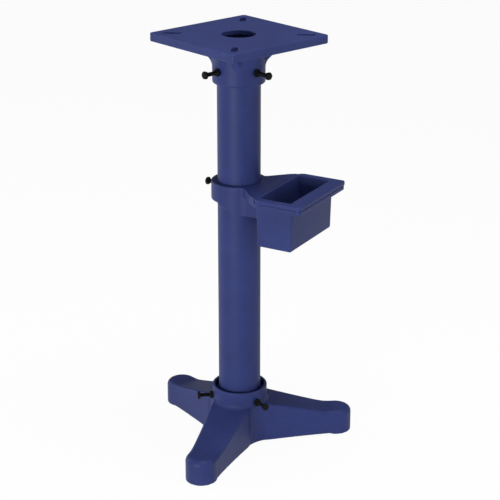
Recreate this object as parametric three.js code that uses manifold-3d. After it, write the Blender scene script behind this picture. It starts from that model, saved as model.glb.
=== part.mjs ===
// Pedestal stand for a bench grinder: a three-legged cast base, a tube column, a cast mounting head
// and a swing-round tray bracket with a lift-out water pot. Millimetres, +Z up, floor at z = 0.
import * as THREE from 'three';
import { mergeVertices } from 'three/addons/utils/BufferGeometryUtils.js';
import Module from 'manifold-3d';

const wasm = await Module();
wasm.setup();

// Driving dimensions

const STAND_HEIGHT = 826;
const FIT_GAP = 0.3;            // clearance between pieces that seat on or in each other

const COLUMN_RADIUS = 41.25;
const COLUMN_WALL = 6;

const HUB_WALL = 13.05;         // column to the outside of the hub
const HUB_TOP = 116;
const HUB_EDGE = 2.5;           // rounded rim of the hub
const RECESS_WIDTH = 7.25;      // open recess round the column in the top of the hub
const RECESS_DEPTH = 14;
const COLUMN_SEAT = 22;         // height of the ledge that the column stands on
const LEDGE_THICKNESS = 10;
const LEDGE_WIDTH = 8.25;       // the ledge reaches this far in under the column

const LEG_COUNT = 3;
const LEG_REACH = 197.5;        // column axis to the middle of a foot
const LEG_FIRST_ANGLE = 90;     // the rear leg
const LEG_ROOT_HALF = 40;       // half width where a leg meets the hub
const LEG_FLARE = 1.6;          // how late the leg widens towards the hub
const LEG_LEVEL = 22.5;         // level stretch of the leg's back before the middle of the foot
const LEG_SLOPE = 0.275;        // rise of the leg's back from there to the hub
const LEG_CROWN = 5;            // rounding of the leg's upper edges at the hub
const LEG_CLEARANCE = 3;        // the legs stay this far off the floor between hub and feet
const LEG_SHELL = 10;           // casting thickness of the hollow legs
const LEG_STATIONS = 5;         // sections of a leg between the hub and the knee
const INNER_CROWN = 3;          // least rounding inside a hollow leg
const FOOT_RADIUS = 30.5;
const FOOT_HEIGHT = 50;
const FOOT_EDGE = 11;           // rounding of the foot's top edge
const FOOT_STEPS = 32;
const FOOT_PAD_EDGE = 1.5;

const PLATE_SIDE = 236;
const PLATE_EDGE = 16;          // depth of the plate's rim
const PLATE_WEB = 10;           // thickness of the plate inside the rim
const PLATE_RIM = 11;           // width of the rim under the plate
const PLATE_CORNER = 6;
const PLATE_BEVEL = 1.5;
const PLATE_LEDGE = 9.25;       // the plate reaches this far in over the column
const SLOT_WIDTH = 12;
const SLOT_LENGTH = 36;
const SLOT_CORNER_DISTANCE = 42.9;  // corner of the plate to the middle of a slot
const HEAD_TURN = 2.5;          // the head is clamped a little turned on the column, in degrees
const SOCKET_WALL = 8.55;       // column to the outside of the socket
const SOCKET_DEPTH = 91;        // plate top to the socket's lower edge
const SOCKET_FILLET = 6;
const SOCKET_CHAMFER = 1.5;
const CORNER_COUNT = 4;         // a gusset and a slot point to each corner of the plate
const CORNER_FIRST_ANGLE = 45;
const RIB_THICKNESS = 10;
const RIB_DEPTH = 36;           // below the plate's rim at the socket
const RIB_REACH = 36;           // out from the socket under the plate

const TRAY_TURN = 20.9;         // the tray is swung this far from the front, in degrees
const TRAY_TOP = 544;
const RING_WALL = 12.15;        // column to the outside of the ring
const RING_HEIGHT = 36;         // on the side away from the pot
const RING_EDGE = 1.5;
const RING_RECESS_WIDTH = 5;    // open recess round the column in the top of the ring
const RING_RECESS_DEPTH = 9;
const ARM_HEIGHT = 56;          // the ring's height on the side of the pot, and the arm's from there on
const ARM_START = -20;          // the lower edge falls from here towards the pot; 0 is the column's axis
const ARM_SLOPE = 0.4;
const ARM_WALL = 8;             // the arm under the deck is hollow and open below
const DECK_THICKNESS = 17;
const DECK_ROOT_ANGLE = 52;     // where the deck's edges leave the ring, from the tray's direction
const DECK_CORNER_BACK = 1.5;   // the deck's wide corners lie this far back from the pot
const DECK_CORNER_BLEND = 24;   // length of the curve on each side of such a corner
const RIM_INNER_WIDTH = 3;      // the pot's rim beside the column, on the far side and at the ends
const RIM_OUTER_WIDTH = 23;
const RIM_END_WIDTH = 10.5;
const RIM_THICKNESS = 8;
const RIM_CORNER = 7;
const RIM_INNER_CORNER = 16;    // the rim's corners beside the deck are rounder
const RIM_OVERHANG = 1;         // the rim stands out this far past the frame below it

const POT_STANDOFF = 41.75;     // column to the near side of the pot
const POT_WIDTH = 75;           // away from the column
const POT_LENGTH = 165;
const POT_DEPTH = 96;           // rim top to the underside of the pot
const POT_WALL = 5;
const POT_CORNER = 4;
const POT_DRAFT = 2;            // the pot is this much smaller all round at the bottom
const POT_BOTTOM_EDGE = 5;
const INNER_ROUND = 2;          // least rounding inside the pot
const POT_CLEARANCE = 1;        // pot to the frame's window

const SCREW_RADIUS = 4;
const SCREW_LENGTH = 38;        // tip to the underside of the head, in the base and the head
const TRAY_SCREW_LENGTH = 25;
const SCREW_HEAD_WIDTH = 13;    // across the flats
const SCREW_HEAD_THICKNESS = 5.5;
const NUT_THICKNESS = 6.5;
const HEX_SIDES = 6;
const HEX_CHAMFER = 0.9;
const SPOT_FACE_RADIUS = 9.5;
const SPOT_FACE_DEPTH = 0.8;
const SPOT_FACE_STEPS = 18;

const BASE_SCREW_HEIGHT = 93;
const HEAD_SCREW_RISE = 26;     // above the socket's lower edge
const TRAY_SCREW_DROP = 14;     // below the top of the ring

const ROUND_STEPS = 48;
const HOLE_STEPS = 12;
const ARC_STEPS = 4;
const SMALL_ARC_STEPS = 3;
const WELD = 1e-4;
const CUT_MARGIN = 5;           // a cut runs this far past the surface it opens
const ROOT_OVERLAP = 2;         // a web runs this far into what carries it

const PAINT = { color: 0x3e4671, roughness: 0.42, metalness: 0.0 };
const BLACK_STEEL = { color: 0x16171a, roughness: 0.5, metalness: 0.7 };

// Sizes that follow from the driving dimensions

const BORE_RADIUS = COLUMN_RADIUS + FIT_GAP;
const HUB_RADIUS = COLUMN_RADIUS + HUB_WALL;
const RECESS_RADIUS = COLUMN_RADIUS + RECESS_WIDTH;
const LEDGE_HOLE_RADIUS = COLUMN_RADIUS - LEDGE_WIDTH;
const LEG_KNEE = LEG_REACH - LEG_LEVEL;
const PLATE_BORE_RADIUS = COLUMN_RADIUS - PLATE_LEDGE;
const SLOT_DISTANCE = PLATE_SIDE / Math.SQRT2 - SLOT_CORNER_DISTANCE;
const SOCKET_RADIUS = COLUMN_RADIUS + SOCKET_WALL;
const RING_RADIUS = COLUMN_RADIUS + RING_WALL;
const RING_RECESS_RADIUS = COLUMN_RADIUS + RING_RECESS_WIDTH;
const ARM_HALF_WIDTH = RING_RADIUS * Math.sin(THREE.MathUtils.degToRad(DECK_ROOT_ANGLE));
const ARM_LEVEL = ARM_START + (ARM_HEIGHT - RING_HEIGHT) / ARM_SLOPE;
const POT_INNER_REACH = COLUMN_RADIUS + POT_STANDOFF;
const POT_OUTER_REACH = POT_INNER_REACH + POT_WIDTH;
const POT_HALF_LENGTH = POT_LENGTH / 2;
const RIM_INNER_REACH = POT_INNER_REACH - RIM_INNER_WIDTH;
const RIM_OUTER_REACH = POT_OUTER_REACH + RIM_OUTER_WIDTH;
const RIM_HALF_LENGTH = POT_HALF_LENGTH + RIM_END_WIDTH;
const DECK_CORNER_REACH = POT_INNER_REACH - DECK_CORNER_BACK;
const ARM_REACH = POT_INNER_REACH - POT_CLEARANCE;
const PLATE_SEAT = STAND_HEIGHT - PLATE_WEB;
const COLUMN_TOP = PLATE_SEAT - FIT_GAP;
const SOCKET_BOTTOM = STAND_HEIGHT - SOCKET_DEPTH;
const FRAME_TOP = TRAY_TOP - RIM_THICKNESS - FIT_GAP;
const DECK_BOTTOM = TRAY_TOP - DECK_THICKNESS;
const RING_BOTTOM = TRAY_TOP - RING_HEIGHT;
const ARM_BOTTOM = TRAY_TOP - ARM_HEIGHT;
const POT_BOTTOM = TRAY_TOP - POT_DEPTH;

const radians = THREE.MathUtils.degToRad;

// Solids from geometries, and geometries from solids

function solid(geometry) {
  const bare = new THREE.BufferGeometry();
  bare.setAttribute('position', geometry.getAttribute('position'));
  bare.setIndex(geometry.getIndex());
  const welded = mergeVertices(bare, WELD);
  const points = welded.getAttribute('position');
  const index = welded.getIndex().array;
  const triangles = [];
  let volume = 0;
  const [a, b, c] = [new THREE.Vector3(), new THREE.Vector3(), new THREE.Vector3()];
  for (let i = 0; i < index.length; i += 3) {
    const [p, q, r] = [index[i], index[i + 1], index[i + 2]];
    if (p === q || q === r || r === p) continue;
    triangles.push(p, q, r);
    a.fromBufferAttribute(points, p);
    b.fromBufferAttribute(points, q);
    c.fromBufferAttribute(points, r);
    volume += a.dot(b.cross(c));
  }
  if (volume < 0) triangles.reverse();
  return new wasm.Manifold(new wasm.Mesh({
    numProp: 3,
    vertProperties: new Float32Array(points.array),
    triVerts: new Uint32Array(triangles),
  }));
}

function geometryOf(manifold) {
  const mesh = manifold.getMesh();
  const geometry = new THREE.BufferGeometry();
  geometry.setAttribute('position', new THREE.BufferAttribute(mesh.vertProperties, 3));
  geometry.setIndex(new THREE.BufferAttribute(mesh.triVerts, 1));
  geometry.computeVertexNormals();
  return geometry;
}

function piece(name, manifold, finish) {
  const mesh = new THREE.Mesh(geometryOf(manifold), new THREE.MeshStandardMaterial(finish));
  mesh.name = name;
  return mesh;
}

// Basic forms

// A solid of revolution about Z; the profile is a closed list of [radius, height].
function revolve(profile, steps = ROUND_STEPS) {
  const points = [...profile, profile[0]].map(([r, z]) => new THREE.Vector2(r, z));
  return solid(new THREE.LatheGeometry(points, steps).rotateX(Math.PI / 2));
}

function prism(shape, bottom, top) {
  const settings = { depth: top - bottom, bevelEnabled: false, curveSegments: ARC_STEPS };
  return solid(new THREE.ExtrudeGeometry(shape, settings).translate(0, 0, bottom));
}

// A web that stands in the XZ plane, centred on it.
function webAcrossY(shape, thickness) {
  const web = new THREE.ExtrudeGeometry(shape, { depth: thickness, bevelEnabled: false });
  return solid(web.rotateX(Math.PI / 2).translate(0, thickness / 2, 0));
}

// A round bar along +X from one distance to another, at the given height.
function barAlongX(radius, from, to, height, steps = HOLE_STEPS) {
  const bar = new THREE.CylinderGeometry(radius, radius, to - from, steps);
  return solid(bar.rotateZ(-Math.PI / 2).translate((from + to) / 2, 0, height));
}

function turned(manifold, degrees) {
  const geometry = geometryOf(manifold).rotateZ(radians(degrees));
  return solid(geometry);
}

// The corners on the low-x side may have a radius of their own.
function roundedRectangle(x0, y0, x1, y1, radius, lowRadius = radius) {
  const shape = new THREE.Shape();
  shape.moveTo(x0 + lowRadius, y0);
  shape.absarc(x1 - radius, y0 + radius, radius, -Math.PI / 2, 0);
  shape.absarc(x1 - radius, y1 - radius, radius, 0, Math.PI / 2);
  shape.absarc(x0 + lowRadius, y1 - lowRadius, lowRadius, Math.PI / 2, Math.PI);
  shape.absarc(x0 + lowRadius, y0 + lowRadius, lowRadius, Math.PI, 1.5 * Math.PI);
  return shape;
}

// A closed skin over rings of equally many points, with flat ends.
function loft(rings) {
  const count = rings[0].length;
  const positions = rings.flat().flatMap((point) => point.toArray());
  const index = [];
  for (let k = 0; k + 1 < rings.length; k += 1) {
    for (let i = 0; i < count; i += 1) {
      const j = (i + 1) % count;
      const [p, q] = [k * count + i, k * count + j];
      index.push(p, q, q + count, p, q + count, p + count);
    }
  }
  const last = (rings.length - 1) * count;
  for (let i = 1; i + 1 < count; i += 1) {
    index.push(0, i + 1, i);
    index.push(last, last + i, last + i + 1);
  }
  const geometry = new THREE.BufferGeometry();
  geometry.setAttribute('position', new THREE.Float32BufferAttribute(positions, 3));
  geometry.setIndex(index);
  return solid(geometry);
}

// Points of a quarter round from one angle to another, in degrees.
function arc(centreX, centreY, radius, fromAngle, toAngle, steps = ARC_STEPS) {
  return Array.from({ length: steps + 1 }, (_, i) => {
    const angle = radians(fromAngle + ((toAngle - fromAngle) * i) / steps);
    return [centreX + radius * Math.cos(angle), centreY + radius * Math.sin(angle)];
  });
}

// Set screw seats: a clear hole through the wall and a spot face for the jam nut

function screwSeat(wallRadius, height, angle) {
  const end = wallRadius + CUT_MARGIN;
  const hole = barAlongX(SCREW_RADIUS + FIT_GAP, COLUMN_RADIUS - COLUMN_WALL, end, height);
  const face = barAlongX(SPOT_FACE_RADIUS, wallRadius - SPOT_FACE_DEPTH, end, height, SPOT_FACE_STEPS);
  return turned(hole.add(face), angle);
}

function cutScrewSeats(casting, wallRadius, height, angles) {
  return angles.reduce((body, angle) => body.subtract(screwSeat(wallRadius, height, angle)), casting);
}

// Base: a hub with an open recess round the column, and three hollow legs with round feet

const legAngles = Array.from({ length: LEG_COUNT }, (_, i) => LEG_FIRST_ANGLE + (i * 360) / LEG_COUNT);
const baseScrewAngles = legAngles.map((angle) => (angle + 180) % 360);

// 0 at the foot, 1 at the hub and inside it.
function legShare(reach) {
  return THREE.MathUtils.clamp((LEG_REACH - reach) / (LEG_REACH - HUB_RADIUS), 0, 1);
}

function legHalfWidth(reach) {
  return FOOT_RADIUS + (LEG_ROOT_HALF - FOOT_RADIUS) * legShare(reach) ** LEG_FLARE;
}

function legTop(reach) {
  return FOOT_HEIGHT + LEG_SLOPE * Math.max(LEG_KNEE - reach, 0);
}

// Cross-section of a leg at one distance from the column. Its upper edges are rounded like the
// foot's at the outer end and are crisper at the hub.
function legSection(reach, inset, bottom) {
  const half = legHalfWidth(reach) - inset;
  const top = legTop(reach) - inset;
  const crown = Math.max(THREE.MathUtils.lerp(FOOT_EDGE, LEG_CROWN, legShare(reach)) - inset, INNER_CROWN);
  const outline = [
    [-half, bottom],
    [half, bottom],
    ...arc(half - crown, top - crown, crown, 0, 90),
    ...arc(crown - half, top - crown, crown, 90, 180),
  ];
  return outline.map(([across, height]) => new THREE.Vector3(reach, across, height));
}

function legBody(from, to, inset, bottom) {
  const sections = Array.from({ length: LEG_STATIONS }, (_, i) => {
    return HUB_RADIUS + ((LEG_KNEE - HUB_RADIUS) * i) / (LEG_STATIONS - 1);
  });
  const between = sections.filter((reach) => reach > from && reach < to);
  return loft([from, ...between, to].map((reach) => legSection(reach, inset, bottom)));
}

function foot() {
  const profile = [
    [0, 0],
    [FOOT_RADIUS - FOOT_PAD_EDGE, 0],
    [FOOT_RADIUS, FOOT_PAD_EDGE],
    ...arc(FOOT_RADIUS - FOOT_EDGE, FOOT_HEIGHT - FOOT_EDGE, FOOT_EDGE, 0, 90),
    [0, FOOT_HEIGHT],
  ];
  const body = revolve(profile, FOOT_STEPS);
  return solid(geometryOf(body).translate(LEG_REACH, 0, 0));
}

function hub() {
  return revolve([
    [0, LEG_CLEARANCE],
    [HUB_RADIUS, LEG_CLEARANCE],
    ...arc(HUB_RADIUS - HUB_EDGE, HUB_TOP - HUB_EDGE, HUB_EDGE, 0, 90, SMALL_ARC_STEPS),
    [0, HUB_TOP],
  ]);
}

// The space inside the hub: recess, column bore, and the hole through the ledge.
function hubBore() {
  const ledgeBottom = COLUMN_SEAT - LEDGE_THICKNESS;
  const recessFloor = HUB_TOP - RECESS_DEPTH;
  return revolve([
    [0, -LEG_CLEARANCE],
    [BORE_RADIUS, -LEG_CLEARANCE],
    [BORE_RADIUS, ledgeBottom],
    [LEDGE_HOLE_RADIUS, ledgeBottom],
    [LEDGE_HOLE_RADIUS, COLUMN_SEAT],
    [BORE_RADIUS, COLUMN_SEAT],
    [BORE_RADIUS, recessFloor],
    [RECESS_RADIUS, recessFloor],
    [RECESS_RADIUS, HUB_TOP + LEG_CLEARANCE],
    [0, HUB_TOP + LEG_CLEARANCE],
  ]);
}

function baseCasting() {
  let casting = hub();
  for (const angle of legAngles) {
    const leg = legBody(0, LEG_REACH, 0, LEG_CLEARANCE).add(foot());
    casting = casting.add(turned(leg, angle));
  }
  casting = casting.subtract(hubBore());
  for (const angle of legAngles) {
    const hollow = legBody(HUB_RADIUS, LEG_REACH - FOOT_RADIUS, LEG_SHELL, -LEG_CLEARANCE);
    casting = casting.subtract(turned(hollow, angle));
  }
  casting = cutScrewSeats(casting, HUB_RADIUS, BASE_SCREW_HEIGHT, baseScrewAngles);
  return piece('base_casting', casting, PAINT);
}

// Column: a plain tube from the ledge in the hub to the underside of the plate

function columnTube() {
  const inner = COLUMN_RADIUS - COLUMN_WALL;
  const bottom = COLUMN_SEAT + FIT_GAP;
  const tube = revolve([
    [inner, bottom],
    [COLUMN_RADIUS, bottom],
    [COLUMN_RADIUS, COLUMN_TOP],
    [inner, COLUMN_TOP],
  ]);
  return piece('column_tube', tube, PAINT);
}

// Head: a square plate with a rim beneath, four slots, and a socket for the column with four gussets

const headScrewAngles = [180, 270];
const cornerAngles = Array.from({ length: CORNER_COUNT }, (_, i) => {
  return CORNER_FIRST_ANGLE + (i * 360) / CORNER_COUNT;
});

function plate() {
  const half = PLATE_SIDE / 2 - PLATE_BEVEL;
  const outline = roundedRectangle(-half, -half, half, half, PLATE_CORNER - PLATE_BEVEL);
  const slab = new THREE.ExtrudeGeometry(outline, {
    depth: PLATE_EDGE - 2 * PLATE_BEVEL,
    bevelThickness: PLATE_BEVEL,
    bevelSize: PLATE_BEVEL,
    bevelSegments: 1,
    curveSegments: ARC_STEPS,
  });
  return solid(slab.translate(0, 0, STAND_HEIGHT - PLATE_EDGE + PLATE_BEVEL));
}

// The hollow under the plate, which leaves a rim round its edge.
function plateHollow() {
  const half = PLATE_SIDE / 2 - PLATE_RIM;
  const outline = roundedRectangle(-half, -half, half, half, PLATE_CORNER);
  return prism(outline, PLATE_SEAT - PLATE_EDGE, PLATE_SEAT);
}

function socket() {
  const filletCentre = PLATE_SEAT - SOCKET_FILLET;
  const inPlate = STAND_HEIGHT - PLATE_WEB / 2;
  return revolve([
    [PLATE_BORE_RADIUS, SOCKET_BOTTOM],
    [SOCKET_RADIUS - SOCKET_CHAMFER, SOCKET_BOTTOM],
    [SOCKET_RADIUS, SOCKET_BOTTOM + SOCKET_CHAMFER],
    ...arc(SOCKET_RADIUS + SOCKET_FILLET, filletCentre, SOCKET_FILLET, 180, 90, SMALL_ARC_STEPS),
    [SOCKET_RADIUS + SOCKET_FILLET, inPlate],
    [PLATE_BORE_RADIUS, inPlate],
  ]);
}

// A triangular gusset along +X between the socket and the underside of the plate.
function socketRib() {
  const root = SOCKET_RADIUS - ROOT_OVERLAP;
  const rimBottom = STAND_HEIGHT - PLATE_EDGE;
  const inPlate = PLATE_SEAT + ROOT_OVERLAP;
  const shape = new THREE.Shape();
  shape.moveTo(root, rimBottom - RIB_DEPTH);
  shape.lineTo(SOCKET_RADIUS, rimBottom - RIB_DEPTH);
  shape.lineTo(SOCKET_RADIUS + RIB_REACH, rimBottom);
  shape.lineTo(SOCKET_RADIUS + RIB_REACH, inPlate);
  shape.lineTo(root, inPlate);
  return webAcrossY(shape, RIB_THICKNESS);
}

function plateSlot() {
  const half = SLOT_LENGTH / 2;
  const width = SLOT_WIDTH / 2;
  const outline = roundedRectangle(SLOT_DISTANCE - half, -width, SLOT_DISTANCE + half, width, width - WELD);
  return prism(outline, STAND_HEIGHT - 2 * PLATE_EDGE, STAND_HEIGHT + PLATE_EDGE);
}

function roundHole(radius, bottom, top) {
  return revolve([[0, bottom], [radius, bottom], [radius, top], [0, top]]);
}

function headCasting() {
  let casting = plate().subtract(plateHollow()).add(socket());
  for (const angle of cornerAngles) {
    casting = casting.add(turned(socketRib(), angle)).subtract(turned(plateSlot(), angle));
  }
  casting = casting.subtract(roundHole(BORE_RADIUS, SOCKET_BOTTOM - PLATE_EDGE, PLATE_SEAT));
  casting = casting.subtract(roundHole(PLATE_BORE_RADIUS, SOCKET_BOTTOM, STAND_HEIGHT + PLATE_EDGE));
  const screwHeight = SOCKET_BOTTOM + HEAD_SCREW_RISE;
  casting = cutScrewSeats(casting, SOCKET_RADIUS, screwHeight, headScrewAngles);
  return piece('head_casting', casting, PAINT);
}

// Tray bracket: a ring that slides on the column, a deck that widens from it with an arm beneath, and a
// frame for the pot.
// Modelled with the tray's direction along +X.

const trayScrewAngle = 180;

function ring() {
  return revolve([
    [BORE_RADIUS, RING_BOTTOM],
    [RING_RADIUS - RING_EDGE, RING_BOTTOM],
    [RING_RADIUS, RING_BOTTOM + RING_EDGE],
    [RING_RADIUS, TRAY_TOP - RING_EDGE],
    [RING_RADIUS - RING_EDGE, TRAY_TOP],
    [BORE_RADIUS, TRAY_TOP],
  ]);
}

// The deck and the frame share one outline: it leaves the ring, widens to rounded corners and runs
// straight to the outer end.
function bracketOutline() {
  const root = radians(DECK_ROOT_ANGLE);
  const [rootX, rootY] = [RING_RADIUS * Math.cos(root), RING_RADIUS * Math.sin(root)];
  const half = RIM_HALF_LENGTH - RIM_OVERHANG;
  const outer = RIM_OUTER_REACH - RIM_OVERHANG;
  const corner = new THREE.Vector2(DECK_CORNER_REACH, half);
  const towardsRing = new THREE.Vector2(rootX, rootY).sub(corner).normalize();
  const start = corner.clone().addScaledVector(towardsRing, DECK_CORNER_BLEND);
  const end = DECK_CORNER_REACH + DECK_CORNER_BLEND;
  const shape = new THREE.Shape();
  shape.moveTo(rootX, -rootY);
  shape.lineTo(start.x, -start.y);
  shape.quadraticCurveTo(corner.x, -corner.y, end, -half);
  shape.absarc(outer - RIM_CORNER, -half + RIM_CORNER, RIM_CORNER, -Math.PI / 2, 0);
  shape.absarc(outer - RIM_CORNER, half - RIM_CORNER, RIM_CORNER, 0, Math.PI / 2);
  shape.lineTo(end, half);
  shape.quadraticCurveTo(corner.x, corner.y, start.x, start.y);
  shape.lineTo(rootX, rootY);
  return shape;
}

// The lowered seat that the pot's rim lies in, flush with the deck.
function rimSeat() {
  const outline = roundedRectangle(
    RIM_INNER_REACH - FIT_GAP,
    -RIM_HALF_LENGTH - CUT_MARGIN,
    RIM_OUTER_REACH + CUT_MARGIN,
    RIM_HALF_LENGTH + CUT_MARGIN,
    FIT_GAP,
  );
  return prism(outline, FRAME_TOP, TRAY_TOP + CUT_MARGIN);
}

// The opening in the frame that the pot hangs through.
function potWindow() {
  const half = POT_HALF_LENGTH + POT_CLEARANCE;
  const outline = roundedRectangle(
    POT_INNER_REACH - POT_CLEARANCE,
    -half,
    POT_OUTER_REACH + POT_CLEARANCE,
    half,
    POT_CORNER + POT_CLEARANCE,
  );
  return prism(outline, POT_BOTTOM, TRAY_TOP + CUT_MARGIN);
}

// The arm under the deck: the ring's wall and two flanks run down to an edge that falls past the column
// and then lies level as far as the pot.
function arm() {
  const inDeck = DECK_BOTTOM + ROOT_OVERLAP;
  const half = ARM_HALF_WIDTH;
  const shape = new THREE.Shape();
  shape.moveTo(ARM_START, RING_BOTTOM);
  shape.lineTo(ARM_LEVEL, ARM_BOTTOM);
  shape.lineTo(ARM_REACH, ARM_BOTTOM);
  shape.lineTo(ARM_REACH, inDeck);
  shape.lineTo(ARM_START, inDeck);
  const block = prism(roundedRectangle(0, -half, ARM_REACH, half, RING_EDGE), ARM_BOTTOM, inDeck);
  const wall = roundHole(RING_RADIUS, ARM_BOTTOM, inDeck);
  return block.add(wall).intersect(webAcrossY(shape, 2 * RING_RADIUS));
}

function armHollow() {
  const half = ARM_HALF_WIDTH - ARM_WALL;
  const outline = roundedRectangle(0, -half, ARM_REACH - ARM_WALL, half, RING_EDGE);
  const lowest = ARM_BOTTOM - CUT_MARGIN;
  return prism(outline, lowest, DECK_BOTTOM).subtract(roundHole(RING_RADIUS, lowest, TRAY_TOP));
}

function trayBracket() {
  const deck = prism(bracketOutline(), DECK_BOTTOM, TRAY_TOP);
  let casting = ring().add(deck).add(arm()).subtract(armHollow());
  casting = casting.subtract(rimSeat()).subtract(potWindow());
  casting = casting.subtract(roundHole(BORE_RADIUS, ARM_BOTTOM - CUT_MARGIN, TRAY_TOP + CUT_MARGIN));
  const recessFloor = TRAY_TOP - RING_RECESS_DEPTH;
  casting = casting.subtract(roundHole(RING_RECESS_RADIUS, recessFloor, TRAY_TOP + CUT_MARGIN));
  casting = cutScrewSeats(casting, RING_RADIUS, TRAY_TOP - TRAY_SCREW_DROP, [trayScrewAngle]);
  return piece('tray_bracket', casting, PAINT);
}

// Water pot: a deep open box whose rim lies on the frame

function potRing(inset, height) {
  const outline = roundedRectangle(
    POT_INNER_REACH + inset,
    -POT_HALF_LENGTH + inset,
    POT_OUTER_REACH - inset,
    POT_HALF_LENGTH - inset,
    Math.max(POT_CORNER - inset, INNER_ROUND),
  );
  const points = outline.getPoints(ARC_STEPS).slice(0, -1);
  return points.map((point) => new THREE.Vector3(point.x, point.y, height));
}

// A box form that narrows downwards and rounds in at the bottom edge.
function potForm(inset, bottom, top) {
  const edge = Math.max(POT_BOTTOM_EDGE - inset / 2, INNER_ROUND);
  const rounding = arc(inset + POT_DRAFT + edge, bottom + edge, edge, 270, 180, SMALL_ARC_STEPS);
  const rings = rounding.map(([tuck, height]) => potRing(tuck, height));
  return loft([...rings, potRing(inset, top)]);
}

function waterPot() {
  const half = RIM_HALF_LENGTH;
  const [near, far] = [RIM_INNER_REACH, RIM_OUTER_REACH];
  const rimOutline = roundedRectangle(near, -half, far, half, RIM_CORNER, RIM_INNER_CORNER);
  const rim = prism(rimOutline, TRAY_TOP - RIM_THICKNESS, TRAY_TOP);
  const outside = potForm(0, POT_BOTTOM, TRAY_TOP - RIM_THICKNESS / 2);
  const inside = potForm(POT_WALL, POT_BOTTOM + POT_WALL, TRAY_TOP + RIM_THICKNESS);
  return piece('water_pot', outside.add(rim).subtract(inside), PAINT);
}

// Set screws with hexagon heads, each with a jam nut, lying along +X from the column

// A hexagon bar whose corners are chamfered at the outer end, or at both ends.
function hexagon(from, to, bothEnds) {
  const corner = SCREW_HEAD_WIDTH / Math.sqrt(3);
  const flat = SCREW_HEAD_WIDTH / 2 - HEX_CHAMFER / 2;
  const bar = barAlongX(corner, from, to, 0, HEX_SIDES);
  const innerEnd = bothEnds ? [[flat, from], [corner, from + HEX_CHAMFER]] : [[corner, from]];
  const outerEnd = [[corner, to - HEX_CHAMFER], [flat, to]];
  const domed = revolve([[0, from], ...innerEnd, ...outerEnd, [0, to]], HOLE_STEPS);
  return bar.intersect(solid(geometryOf(domed).rotateY(Math.PI / 2)));
}

function setScrew(name, length) {
  const tip = COLUMN_RADIUS + FIT_GAP;
  const shoulder = tip + length;
  const shank = barAlongX(SCREW_RADIUS, tip, shoulder + SCREW_HEAD_THICKNESS / 2, 0);
  const head = hexagon(shoulder, shoulder + SCREW_HEAD_THICKNESS, false);
  return piece(name, shank.add(head), BLACK_STEEL);
}

function jamNut(name, wallRadius) {
  const seat = wallRadius - SPOT_FACE_DEPTH + FIT_GAP;
  const end = seat + NUT_THICKNESS;
  const body = hexagon(seat, end, true);
  const hole = barAlongX(SCREW_RADIUS + FIT_GAP, seat - CUT_MARGIN, end + CUT_MARGIN, 0);
  return piece(name, body.subtract(hole), BLACK_STEEL);
}

// A screw and its nut at one place round a casting; `ending` tells like pairs apart by name.
function screwAndNut(casting, ending, length, wallRadius, height, angle) {
  const pair = new THREE.Group();
  pair.add(setScrew(`${casting}_screw${ending}`, length), jamNut(`${casting}_nut${ending}`, wallRadius));
  pair.position.z = height;
  pair.rotation.z = radians(angle);
  return pair;
}

// Assembly

function baseGroup() {
  const group = new THREE.Group();
  group.add(baseCasting());
  const endings = ['_front', '_right', '_left'];
  baseScrewAngles.forEach((angle, i) => {
    group.add(screwAndNut('base', endings[i], SCREW_LENGTH, HUB_RADIUS, BASE_SCREW_HEIGHT, angle));
  });
  return group;
}

function headGroup() {
  const group = new THREE.Group();
  group.add(headCasting());
  const endings = ['_left', '_front'];
  const height = SOCKET_BOTTOM + HEAD_SCREW_RISE;
  headScrewAngles.forEach((angle, i) => {
    group.add(screwAndNut('head', endings[i], SCREW_LENGTH, SOCKET_RADIUS, height, angle));
  });
  group.rotation.z = radians(HEAD_TURN);
  return group;
}

function trayGroup() {
  const group = new THREE.Group();
  const height = TRAY_TOP - TRAY_SCREW_DROP;
  group.add(trayBracket(), waterPot());
  group.add(screwAndNut('tray', '', TRAY_SCREW_LENGTH, RING_RADIUS, height, trayScrewAngle));
  group.rotation.z = radians(TRAY_TURN - 90);
  return group;
}

// The origin lies on the floor under the middle of the whole stand.
function grinderStand() {
  const stand = new THREE.Group();
  stand.name = 'grinder_stand';
  stand.add(baseGroup(), columnTube(), trayGroup(), headGroup());
  const middle = new THREE.Box3().setFromObject(stand, true).getCenter(new THREE.Vector3());
  stand.position.set(-middle.x, -middle.y, 0);
  return stand;
}

export default grinderStand();
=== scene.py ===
"""Looks of a pedestal stand for a bench grinder, laid out as an add-on and run as a script.

The castings are drawn from distance fields, so that their fillets and rounded edges are real, and
the column, screws and nuts are turned from rings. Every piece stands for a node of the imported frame.
"""

import math
from itertools import product

import bpy
import numpy as np
from bpy.props import FloatProperty, FloatVectorProperty, PointerProperty
from mathutils import Matrix, Vector


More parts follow.
